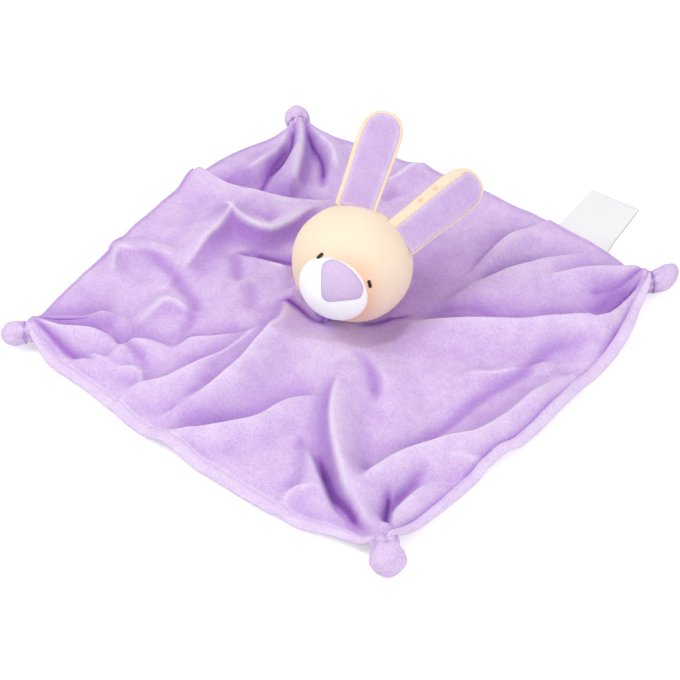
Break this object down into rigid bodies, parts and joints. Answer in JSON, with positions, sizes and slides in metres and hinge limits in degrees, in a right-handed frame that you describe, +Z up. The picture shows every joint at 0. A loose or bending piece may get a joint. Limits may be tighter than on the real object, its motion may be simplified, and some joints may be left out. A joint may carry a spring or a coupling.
{
  "type": "comfort blanket",
  "caption": "Square velour comfort blanket with knotted corners, a ribbon label and a stuffed rabbit head sewn to its middle.",
  "frame": {"origin": "middle of the blanket's underside, on the table", "axes": "+Z up from the table, -Y towards the side that the rabbit faces, +X to the right seen from that side"},
  "size_m": [0.284, 0.3103, 0.0989],
  "materials": {
    "lilac_velour": "matt short pile",
    "cream_velour": "matt short pile",
    "white_velour": "matt short pile",
    "pale_lilac_felt": "matt",
    "black_thread": "satin stitch",
    "lilac_thread": "twisted thread",
    "fibre_fill": "loose fibre",
    "white_satin": "satin"
  },
  "bodies": {
    "blanket": {"blanket_top_layer": "lilac_velour", "blanket_bottom_layer": "lilac_velour", "neck_gather": "lilac_velour"},
    "neck": {"neck_thread": "lilac_thread"},
    "head": {"head_front_panel": "cream_velour", "head_back_panel": "cream_velour", "head_stuffing": "fibre_fill", "muzzle_cover": "white_velour", "muzzle_stuffing": "fibre_fill", "nose_patch": "pale_lilac_felt", "eye_left": "black_thread", "eye_right": "black_thread"},
    "ear_left": {"ear_left_back": "cream_velour", "ear_left_lining": "pale_lilac_felt", "ear_left_wadding": "fibre_fill"},
    "ear_right": {"ear_right_back": "cream_velour", "ear_right_lining": "pale_lilac_felt", "ear_right_wadding": "fibre_fill"},
    "corner_front_left": {"knot_front_left": "lilac_velour", "knot_thread_front_left": "lilac_thread"},
    "corner_front_right": {"knot_front_right": "lilac_velour", "knot_thread_front_right": "lilac_thread"},
    "corner_back_left": {"knot_back_left": "lilac_velour", "knot_thread_back_left": "lilac_thread"},
    "corner_back_right": {"knot_back_right": "lilac_velour", "knot_thread_back_right": "lilac_thread"},
    "label": {"label_ribbon": "white_satin"}
  },
  "joints": [
    {"name": "head_twist", "type": "hinge", "parent": "blanket", "child": "neck", "pos_m": [0.00139, -0.0096, 0.01565], "axis": [0.1683, 0.56, 0.8112], "range_deg": [-30, 30], "stiffness_Nm_per_rad": 0.01},
    {"name": "head_nod", "type": "hinge", "parent": "neck", "child": "head", "pos_m": [0.00139, -0.0096, 0.01565], "axis": [0.9115, 0.2249, -0.3444], "range_deg": [0, 30]},
    {"name": "ear_left_fold", "type": "hinge", "parent": "head", "child": "ear_left", "pos_m": [-0.00197, 0.01736, 0.06381], "axis": [0.9258, 0.3477, -0.1485], "range_deg": [-22, 60], "stiffness_Nm_per_rad": 0.02},
    {"name": "ear_right_fold", "type": "hinge", "parent": "head", "child": "ear_right", "pos_m": [0.02518, 0.02335, 0.05237], "axis": [0.7803, -0.0034, -0.6253], "range_deg": [-16, 68], "stiffness_Nm_per_rad": 0.02},
    {"name": "knot_front_left_lift", "type": "hinge", "parent": "blanket", "child": "corner_front_left", "pos_m": [-0.11673, -0.12418, 0.0149], "axis": [-0.7071, 0.7071, 0], "range_deg": [0, 45]},
    {"name": "knot_front_right_lift", "type": "hinge", "parent": "blanket", "child": "corner_front_right", "pos_m": [0.12825, -0.12769, 0.0149], "axis": [-0.7071, -0.7071, 0], "range_deg": [0, 45]},
    {"name": "knot_back_left_lift", "type": "hinge", "parent": "blanket", "child": "corner_back_left", "pos_m": [-0.12403, 0.11687, 0.0149], "axis": [0.7071, 0.7071, 0], "range_deg": [0, 45]},
    {"name": "knot_back_right_lift", "type": "hinge", "parent": "blanket", "child": "corner_back_right", "pos_m": [0.1267, 0.11968, 0.0149], "axis": [0.7071, -0.7071, 0], "range_deg": [0, 45]},
    {"name": "label_flap", "type": "hinge", "parent": "blanket", "child": "label", "pos_m": [0.07576, 0.1386, 0.00155], "axis": [0.9936, -0.113, 0], "range_deg": [-22, 55], "stiffness_Nm_per_rad": 0.002}
  ]
}
